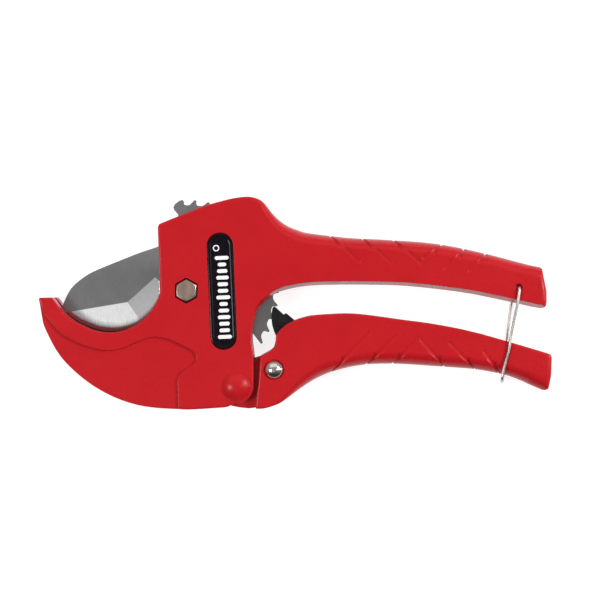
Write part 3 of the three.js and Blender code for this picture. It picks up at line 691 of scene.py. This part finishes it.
# ---- materials ----
class Shader:
    """A node material under construction: one principled shader and object-space coordinates."""

    def __init__(self, name):
        self.material = bpy.data.materials.new(name)
        self.material.use_nodes = True
        self.tree = self.material.node_tree
        self.shader = self.tree.nodes["Principled BSDF"]
        self.place = self.node("ShaderNodeTexCoord").outputs["Object"]

    def node(self, kind, **settings):
        made = self.tree.nodes.new(kind)
        for key, value in settings.items():
            setattr(made, key, value)
        return made

    def feed(self, output, socket):
        self.tree.links.new(output, socket)

    def set(self, **values):
        for key, value in values.items():
            self.shader.inputs[key.replace("_", " ")].default_value = value

    def stretched(self, scale, turn):
        mapping = self.node("ShaderNodeMapping")
        mapping.inputs["Scale"].default_value = scale
        mapping.inputs["Rotation"].default_value = (0, 0, turn)
        self.feed(self.place, mapping.inputs["Vector"])
        return mapping.outputs["Vector"]

    def noise(self, scale, detail, at=None, roughness=0.5):
        made = self.node("ShaderNodeTexNoise")
        made.inputs["Scale"].default_value = scale
        made.inputs["Detail"].default_value = detail
        made.inputs["Roughness"].default_value = roughness
        self.feed(at or self.place, made.inputs["Vector"])
        return made.outputs["Fac"]

    def ramp(self, value, low, high, start=0.3, end=0.7):
        made = self.node("ShaderNodeMapRange")
        made.inputs["From Min"].default_value = start
        made.inputs["From Max"].default_value = end
        made.inputs["To Min"].default_value = low
        made.inputs["To Max"].default_value = high
        self.feed(value, made.inputs["Value"])
        return made.outputs["Result"]

    def mix(self, factor, dark, light):
        made = self.node("ShaderNodeMix", data_type="RGBA")
        made.inputs[6].default_value = (*dark, 1)
        made.inputs[7].default_value = (*light, 1)
        self.feed(factor, made.inputs[0])
        return made.outputs[2]

    def colour(self, output):
        self.feed(output, self.shader.inputs["Base Color"])

    def roughness(self, output):
        self.feed(output, self.shader.inputs["Roughness"])

    def bump(self, height, distance, strength):
        made = self.node("ShaderNodeBump")
        made.inputs["Strength"].default_value = strength
        made.inputs["Distance"].default_value = distance
        self.feed(height, made.inputs["Height"])
        self.feed(made.outputs["Normal"], self.shader.inputs["Normal"])


def red_paint():
    s = Shader("red enamel")
    s.set(Metallic=0.0, Specular_IOR_Level=0.16)
    s.colour(s.mix(s.ramp(s.noise(60, 2), 0, 1), (0.445, 0.0085, 0.0130), (0.470, 0.0100, 0.0145)))
    s.roughness(s.ramp(s.noise(220, 4), 0.24, 0.31))
    s.bump(s.noise(700, 2), 0.02 * MM, 0.12)
    return s.material


SATIN_LINES = (9000, 500, 500)  # noise per metre across and along the grinding lines
SATIN_SHARES = (0.6, 0.4)  # lines and clouds
GROUND_LINES = (2600, 350, 350)
PAINTED_SHADE_AT = (CRADLE[0] + 1.6, CRADLE[1] + 2.1)  # centre of the band of painted shade on the bevels, x and y
PAINTED_SHADE_SPAN = (20.2, 22.4)  # distances from it between which painted shade darkens the bevel
PAINTED_SHADE_WANDER = 1.6 * MM


def satin_steel(name, dark, light, rough, turn):
    """Steel with fine grinding lines that run across the given direction."""
    s = Shader(name)
    s.set(Metallic=1.0, Anisotropic=0.3)
    streaks = s.noise(1.0, 5, s.stretched(SATIN_LINES, turn), 0.7)
    clouds = s.noise(140, 4)
    total = s.node("ShaderNodeMath", operation="MULTIPLY_ADD")
    total.inputs[1].default_value = SATIN_SHARES[0]
    s.feed(streaks, total.inputs[0])
    weak = s.node("ShaderNodeMath", operation="MULTIPLY")
    weak.inputs[1].default_value = SATIN_SHARES[1]
    s.feed(clouds, weak.inputs[0])
    s.feed(weak.outputs[0], total.inputs[2])
    s.colour(s.mix(s.ramp(total.outputs[0], 0, 1), dark, light))
    s.roughness(s.ramp(streaks, rough - 0.06, rough + 0.08))
    s.bump(streaks, 0.01 * MM, 0.25)
    return s.material


def ground_steel():
    """The bevels: bright, and darkened by painted shade in a band along the cutting edge."""
    s = Shader("ground bevel")
    s.set(Metallic=1.0)
    away = s.node("ShaderNodeVectorMath", operation="DISTANCE")
    away.inputs[1].default_value = placed(*PAINTED_SHADE_AT, MID)
    s.feed(s.place, away.inputs[0])
    streaks = s.noise(1.0, 4, s.stretched(GROUND_LINES, math.radians(20)), 0.6)
    wander = s.node("ShaderNodeMath", operation="MULTIPLY_ADD")
    wander.inputs[1].default_value = PAINTED_SHADE_WANDER
    s.feed(streaks, wander.inputs[0])
    s.feed(away.outputs["Value"], wander.inputs[2])
    # painted shade: the bevel colour darkens with distance from the centre, a little unevenly along the
    # grinding lines
    painted_shade = s.ramp(wander.outputs[0], 0, 1, PAINTED_SHADE_SPAN[0] * MM, PAINTED_SHADE_SPAN[1] * MM)
    s.colour(s.mix(painted_shade, (0.82, 0.82, 0.82), (0.36, 0.36, 0.36)))
    s.roughness(s.ramp(streaks, 0.13, 0.19))
    s.bump(streaks, 0.01 * MM, 0.06)
    return s.material


def plain_metal(name, dark, light, rough, grain=300):
    s = Shader(name)
    s.set(Metallic=1.0)
    spots = s.noise(grain, 4)
    s.colour(s.mix(s.ramp(spots, 0, 1), dark, light))
    s.roughness(s.ramp(s.noise(grain * 2, 3), rough - 0.05, rough + 0.07))
    s.bump(spots, 0.01 * MM, 0.15)
    return s.material


def plastic(name, dark, light, rough, grain=500, shine=0.5):
    s = Shader(name)
    s.set(Specular_IOR_Level=shine)
    spots = s.noise(grain, 3)
    s.colour(s.mix(s.ramp(spots, 0, 1), dark, light))
    s.roughness(s.ramp(spots, rough - 0.03, rough + 0.05))
    s.bump(spots, 0.01 * MM, 0.15)
    return s.material


def floor_paper():
    """Back-lit white paper: it throws almost no shadow and lights the walls of the tool from below."""
    s = Shader("studio paper")
    s.colour(s.mix(s.ramp(s.noise(30, 3), 0, 1), (0.34, 0.34, 0.34), (0.36, 0.36, 0.36)))
    s.set(Roughness=0.9, Emission_Color=(1, 1, 1, 1), Emission_Strength=0.83)
    return s.material


RED = red_paint()
BLADE_FLAT = satin_steel(
    "satin blade flank", (0.27, 0.27, 0.275), (0.33, 0.33, 0.335), 0.33, math.radians(35)
)
BLADE_GROUND = ground_steel()
ZINC = plain_metal("dull zinc plate", (0.34, 0.245, 0.20), (0.40, 0.29, 0.235), 0.40, 260)
WIRE = plain_metal("nickel plated wire", (0.56, 0.54, 0.51), (0.62, 0.60, 0.57), 0.30, 60)
NICKEL = plain_metal("bright nickel", (0.66, 0.63, 0.58), (0.72, 0.69, 0.64), 0.14, 200)
SHIM = plain_metal("shim steel", (0.42, 0.42, 0.43), (0.50, 0.50, 0.51), 0.3)
SPRING = plain_metal("oiled spring steel", (0.10, 0.10, 0.11), (0.15, 0.15, 0.16), 0.32)
BRONZE = plain_metal("sintered bronze", (0.42, 0.29, 0.12), (0.52, 0.38, 0.18), 0.45, 900)
# Black for the pawl, and on the sides of the bolt head it stands as painted shade.
BLACK_STEEL_AND_PAINTED_SHADE = plastic("blackened steel and painted shade", (0.007, 0.007, 0.008), (0.013, 0.013, 0.014), 0.34, 300, 0.2)
NYLON = plastic("blue nylon", (0.03, 0.09, 0.30), (0.05, 0.13, 0.38), 0.5)
LABEL = plastic("label film", (0.004, 0.003, 0.005), (0.007, 0.005, 0.008), 0.16, 500, 0.12)
MARK = plastic("label marks", (0.80, 0.80, 0.80), (0.86, 0.86, 0.86), 0.4)


# ---- pieces ----
# Widths are in millimetres and sharp angles in degrees.
BLADE_EASE = 0.10
BLADE_EASE_SHARP = 25
BLADE_SHARP = 1.5  # the ridge between the two bevels turns by only a few degrees
BEVEL_TILT = (0.95, 0.9995)  # how upright the normal of a bevel is
BOLT_EASE = 0.12
BOLT_SHARP = 20
BOLT_SIDE_TILT = 0.3

# A rivet, from its rear tail to the top of its domed head.
TAIL_FOOT = 0.2
TAIL_CHAMFER = 0.4
TAIL_SHOULDER = 0.6
HEAD_LIP = 0.15
HEAD_BRIM = THICK + 0.1
DOME_STEPS = 16
HANDLE_RIVET = {"shank": 2.5, "dome": 5.75, "rise": 2.4, "tail": 3.7, "tail_top": 1.2, "seat": HEAD_BRIM}
PAWL_RIVET = {"shank": 2.0, "dome": 3.6, "rise": 1.9, "tail": 3.0, "tail_top": 1.1, "seat": THICK - 0.5}


def body_casting():
    outline = body_outline()
    piece = rounded_plate("body_casting_look", outline, body_edge)
    sweep = arc(0, 0, BLADE_SWEEP, -106, 185) + corners((0, 0))
    jaw = arc(CRADLE[0], CRADLE[1], JAW_SWEEP, -26.7, -153) + corners((-56, 6), (-6.7, 6))
    pocket = corners((17.1, -29.6), HANDLE_AT, (21.2, -53), (36, -53), (36, -23.2))
    recess = [(-62, -4.6), (-58.2, -5.7), (-57.4, -8.8), (-54.8, -12.1), (-50.4, -17.0), (-44.2, -20.7),
              (-38.1, -22.9), (-31.9, -24.0), (-25.7, -23.1), (-19.5, -20.4), (-13.3, -18.6), (-7.1, -19.5),
              (-1.0, -22.3), (2.8, -24.4), (4.3, -27.3), (2.8, -29.4), (-1.6, -32.5), (-3.4, -35.6),
              (-3.2, -41.0), (-3.1, -52.0)]
    flank = corners((-62, -52)) + spline(recess)
    roof = [(x, y - SPINE_WALL) for x, y in SPINE_LINE[:8]]
    floor = [(x, y + PALM_WALL) for x, y in PALM_INNER[2:]]
    core = corners((CORE_FROM, 7.0), *floor, (150, -3.9), (150, 4.0), *roof, (CORE_FROM, 19.2))
    holes = [circle(0, 0, BODY_HOLE), circle(*HANDLE_AT, BODY_HOLE), circle(*BAIL_AT, BAIL_HOLE, 32)]
    cutters = [
        prism("blade_sweep", [sweep], *BLADE_SLOT),
        prism("jaw_slot", [jaw], *BLADE_SLOT),
        prism("hub_slot", [circle(0, 0, HUB_RADIUS)], *BLADE_SLOT),
        prism("pocket_round", [circle(*HANDLE_AT, EAR_POCKET_RADIUS)], *EAR_POCKET),
        prism("pocket", [pocket], *EAR_POCKET),
        prism("flank_front", [flank], THICK - FLANK_DEPTH, THICK + 2 * PROUD),
        prism("flank_back", [flank], -2 * PROUD, FLANK_DEPTH),
        prism("core", [core], *CORE),
        prism("label_field", [label_outline(LABEL_GAP)], THICK - LABEL_SEAT, THICK + PROUD),
        prism("bolt_pocket", [hexagon(0, 0, BOLT_FLATS)], THICK - BOLT_SEAT, THICK + PROUD),
        prism("nut_pocket", [circle(0, 0, NUT_WELL[0])], -PROUD, NUT_WELL[1]),
        prism("bolt_and_pin_holes", holes, *THROUGH),
        prism("bail_hole", [circle(*BAIL_AT, BAIL_HOLE_FRONT, 40)], MID, THROUGH[1]),
        prism("rivet_recess", [circle(*HANDLE_AT, HANDLE_PIN_WELL[0])], -PROUD, HANDLE_PIN_WELL[1]),
        prism("corners", [corner_round(*each) for each in BODY_CORNERS], *THROUGH),
    ]
    piece = eased(tapered(combined(piece, cutters, "DIFFERENCE")))
    settled(grooved(piece, BODY_GROOVES, outline, body_edge))
    piece.data.materials.append(RED)
    stand_in(piece, "body_casting")


def movable_handle():
    outline = handle_outline()
    piece = rounded_plate("movable_handle_look", outline, handle_edge)
    floor = [(x, y + HANDLE_WALL) for x, y in PALM_LINE[2:12]]
    wide = corners((50, -31.5), *floor, (143, -36.0), (143, 0), (50, 0))
    narrow = corners((20, -43.2), (34, -42.2), (38.6, -40.3), (45, -35.8), (51, -31.0), (51, 0), (20, 0))
    ear = arc(*HANDLE_AT, EAR_RADIUS, 109, 257) + corners(
        (21.3, -47.2), (25.1, -47.6), (28.2, -47.2), (33.5, -45.6), (36, -36), (33, -25.3),
        (29.7, -26.6), (27.7, -27.2),
    )
    hollow = [prism("wide", [wide], *CORE), prism("narrow", [narrow], *EAR_GAP)]
    combined(piece, hollow, "DIFFERENCE")
    ears = [prism("ear_back", [ear], *EAR_BACK), prism("ear_front", [ear], *EAR_FRONT)]
    combined(piece, ears, "UNION")
    holes = [circle(*HANDLE_AT, EAR_HOLE), circle(*PAWL_AT, PAWL_PIN_HOLE)]
    cutters = [
        prism("pin_holes", holes, *THROUGH),
        prism("rivet_recess", [circle(*PAWL_AT, PAWL_PIN_WELL[0])], -PROUD, PAWL_PIN_WELL[1]),
        prism("dome_seat", [circle(*PAWL_AT, DOME_SEAT[0])], THICK - DOME_SEAT[1], THICK + PROUD),
        prism("end_corner", [corner_round(*HANDLE_CORNER)], *THROUGH),
    ]
    piece = eased(tapered(combined(piece, cutters, "DIFFERENCE")))
    settled(grooved(piece, HANDLE_GROOVES, outline, handle_edge))
    piece.data.materials.append(RED)
    stand_in(piece, "movable_handle")


def blade():
    piece = finished_copy("blade", BLADE_EASE * MM, BLADE_EASE_SHARP)
    smooth_shade(piece, BLADE_SHARP)
    piece.data.materials.append(BLADE_FLAT)
    piece.data.materials.append(BLADE_GROUND)
    for polygon in piece.data.polygons:
        tilt = abs(polygon.normal.z)
        polygon.material_index = 1 if BEVEL_TILT[0] < tilt < BEVEL_TILT[1] else 0


def dome_profile(shank, dome, rise, tail, tail_top, seat):
    """The profile of a rivet for turned(), from radii and heights in millimetres."""
    sphere = (dome * dome + rise * rise) / (2 * rise)
    widest = math.asin(dome / sphere)
    profile = [
        (0, TAIL_FOOT),
        (tail - TAIL_CHAMFER, TAIL_FOOT),
        (tail, TAIL_SHOULDER),
        (tail, tail_top),
        (shank, tail_top),
        (shank, seat),
        (dome - HEAD_LIP, seat),
    ]
    if seat < THICK:
        profile.append((dome, seat + HEAD_LIP))
    for i in range(DOME_STEPS):
        turn = widest * (1 - i / DOME_STEPS)
        profile.append((sphere * math.sin(turn), HEAD_BRIM + rise - sphere * (1 - math.cos(turn))))
    profile.append((0, HEAD_BRIM + rise))
    return [(radius * MM, z * MM) for radius, z in profile]


def rivets():
    for node, pivot, sizes, finish in (
        ("handle_pivot_pin", HANDLE_PIVOT, HANDLE_RIVET, RED),
        ("pawl_pin", PAWL_PIVOT, PAWL_RIVET, NICKEL),
    ):
        piece = turned(node + "_look", pivot, dome_profile(**sizes))
        piece.data.materials.append(finish)
        stand_in(piece, node)


def small_metal():
    """The pieces that keep their CAD shape, each with its finish and its rounding in millimetres."""
    finishes = {
        "blade_nut": (ZINC, 0.12),
        "blade_nut_washer": (ZINC, 0.05),
        "handle_pin_washer": (ZINC, 0.05),
        "pawl_pin_washer": (ZINC, 0.05),
        "blade_bushing": (BRONZE, 0.08),
        "handle_pivot_bushing": (BRONZE, 0.08),
        "pawl_bushing": (BRONZE, 0.08),
        "blade_shim_front": (SHIM, 0.05),
        "blade_shim_back": (SHIM, 0.05),
        "pawl_nose_pin": (SHIM, 0.08),
        "blade_disc_spring": (SPRING, 0.05),
        "blade_nut_insert": (NYLON, 0.05),
        "pawl": (BLACK_STEEL_AND_PAINTED_SHADE, 0.15),
    }
    for node, (finish, rounding) in finishes.items():
        piece = finished_copy(node, rounding * MM)
        piece.data.materials.append(finish)


def wires():
    for node, finish in (("lock_bail", WIRE), ("return_spring", SPRING), ("pawl_spring", SPRING)):
        round_wire(node).data.materials.append(finish)


def bolt():
    """The head's flats stay bright zinc, and the sides in the pocket get black paint as painted shade."""
    piece = finished_copy("blade_bolt", BOLT_EASE * MM, BOLT_SHARP)
    piece.data.materials.append(ZINC)
    piece.data.materials.append(BLACK_STEEL_AND_PAINTED_SHADE)
    # painted shade: the steep sides of the head get the black material
    for polygon in piece.data.polygons:
        polygon.material_index = 1 if abs(polygon.normal.z) < BOLT_SIDE_TILT else 0


def label():
    """A glossy plate with a raised rim, and the plain white marks printed on its field."""
    low, high = LABEL_LOW.z / MM, LABEL_HIGH.z / MM
    field = high - LABEL_SUNK
    outline = label_outline(0)
    section = (
        (0.3, low),
        (0, low + 0.2),
        (0, high - 0.25),
        (0.08, high - 0.07),
        (0.3, high),
        (1.0, high),
        (1.35, field),
    )
    rings = []
    for depth, z in section:
        rings.append([placed(p.x, p.y, z) for p in inset(outline, [depth] * len(outline))])
    piece = lofted("label_plate_look", rings)
    smooth_shade(piece, LABEL_SMOOTH)
    piece.data.materials.append(LABEL)
    stand_in(piece, "label_plate")

    lean = math.radians(90 + LABEL_TILT)
    up = Vector((math.cos(lean), math.sin(lean)))
    right = Vector((math.sin(lean), -math.cos(lean)))
    middle = Vector((LABEL_AT.x, LABEL_AT.y)) + right * MARK_SHIFT
    bars = []
    for i in range(MARK_COUNT):
        at = middle + up * (MARK_FROM + MARK_PITCH * i)
        reach = right * (MARK_LENGTHS[i % len(MARK_LENGTHS)] - MARK_WIDTH) / 2
        bars.append(capsule(at.x - reach.x, at.y - reach.y, at.x + reach.x, at.y + reach.y, MARK_WIDTH))
    dot = middle + up * MARK_RING[0] + right * MARK_RING[1]
    foot, top = field - MARK_SUNK, field + MARK_PROUD
    ring = prism("label_ring", [circle(dot.x, dot.y, MARK_RING[2], 32)], foot, top)
    hole = prism("hole", [circle(dot.x, dot.y, MARK_RING[2] - MARK_RING_WALL, 32)], 0, THICK)
    combined(ring, [hole], "DIFFERENCE")
    for marks in (prism("label_bars", bars, foot, top), ring):
        marks.data.materials.append(MARK)
        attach(marks, "body")


# ---- studio ----
FLOOR_SIZE = 3.0
FLOOR_DROP = 0.05 * MM
# How strong the room shines: the two Y directions between which it changes, and its two strengths.
SKY = {"From Min": -0.75, "From Max": 0.25, "To Min": 0.04, "To Max": 0.36}
# Name, place, size, power in watts, and the spot that the light faces.
LIGHTS = (
    ("left", (-0.72, -0.15, 0.85), (0.30, 0.36), 6.6, (0, 0, 0)),
    ("right", (0.86, 0.30, 0.70), (0.36, 0.36), 8.2, (0, 0, 0)),
    ("low right", (0.72, 0.02, 0.40), (0.14, 1.3), 1.5, (0.05, 0, 0)),
    ("key", (-0.1, 1.0, 0.9), (2.0, 1.0), 4.2, (0, 0, 0)),
    ("bevel card left", (-0.155, -0.225, 0.85), (0.17, 0.17), 0.078, (-0.07, 0, 0.01)),
    ("bevel card right", (-0.005, -0.15, 0.85), (0.10, 0.12), 0.016, (-0.06, 0, 0.01)),
)


def area_light(name, at, size, power, aim):
    light = bpy.data.lights.new(name, "AREA")
    light.shape = "RECTANGLE"
    light.size, light.size_y = size
    light.energy = power
    obj = link(bpy.data.objects.new(name, light))
    obj.location = at
    obj.rotation_euler = (Vector(aim) - Vector(at)).to_track_quat("-Z", "Y").to_euler()


def sky(tree):
    """A soft room that is darker on the near side of the tool."""
    direction = tree.nodes.new("ShaderNodeTexCoord").outputs["Generated"]
    parts = tree.nodes.new("ShaderNodeSeparateXYZ")
    ramp = tree.nodes.new("ShaderNodeMapRange")
    for name, value in SKY.items():
        ramp.inputs[name].default_value = value
    background = tree.nodes["Background"]
    background.inputs["Color"].default_value = (1, 1, 1, 1)
    tree.links.new(direction, parts.inputs[0])
    tree.links.new(parts.outputs["Y"], ramp.inputs["Value"])
    tree.links.new(ramp.outputs["Result"], background.inputs["Strength"])


def studio():
    def build(bm):
        bmesh.ops.create_grid(bm, x_segments=8, y_segments=8, size=FLOOR_SIZE)

    floor = mesh_object("floor", build)
    floor.location.z = -FLOOR_DROP
    floor.data.materials.append(floor_paper())
    world = bpy.data.worlds.new("studio")
    bpy.context.scene.world = world
    world.use_nodes = True
    sky(world.node_tree)
    for light in LIGHTS:
        area_light(*light)


def camera():
    data = bpy.data.cameras.new("camera")
    data.lens = CAMERA_LENS
    data.sensor_width = CAMERA_SENSOR
    data.clip_start = 0.01
    obj = link(bpy.data.objects.new("camera", data))
    obj.location = CAMERA_AT
    bpy.context.scene.camera = obj


def main():
    bpy.context.scene.view_settings.view_transform = "Standard"
    body_casting()
    movable_handle()
    blade()
    rivets()
    small_metal()
    bolt()
    wires()
    label()
    studio()
    camera()


main()
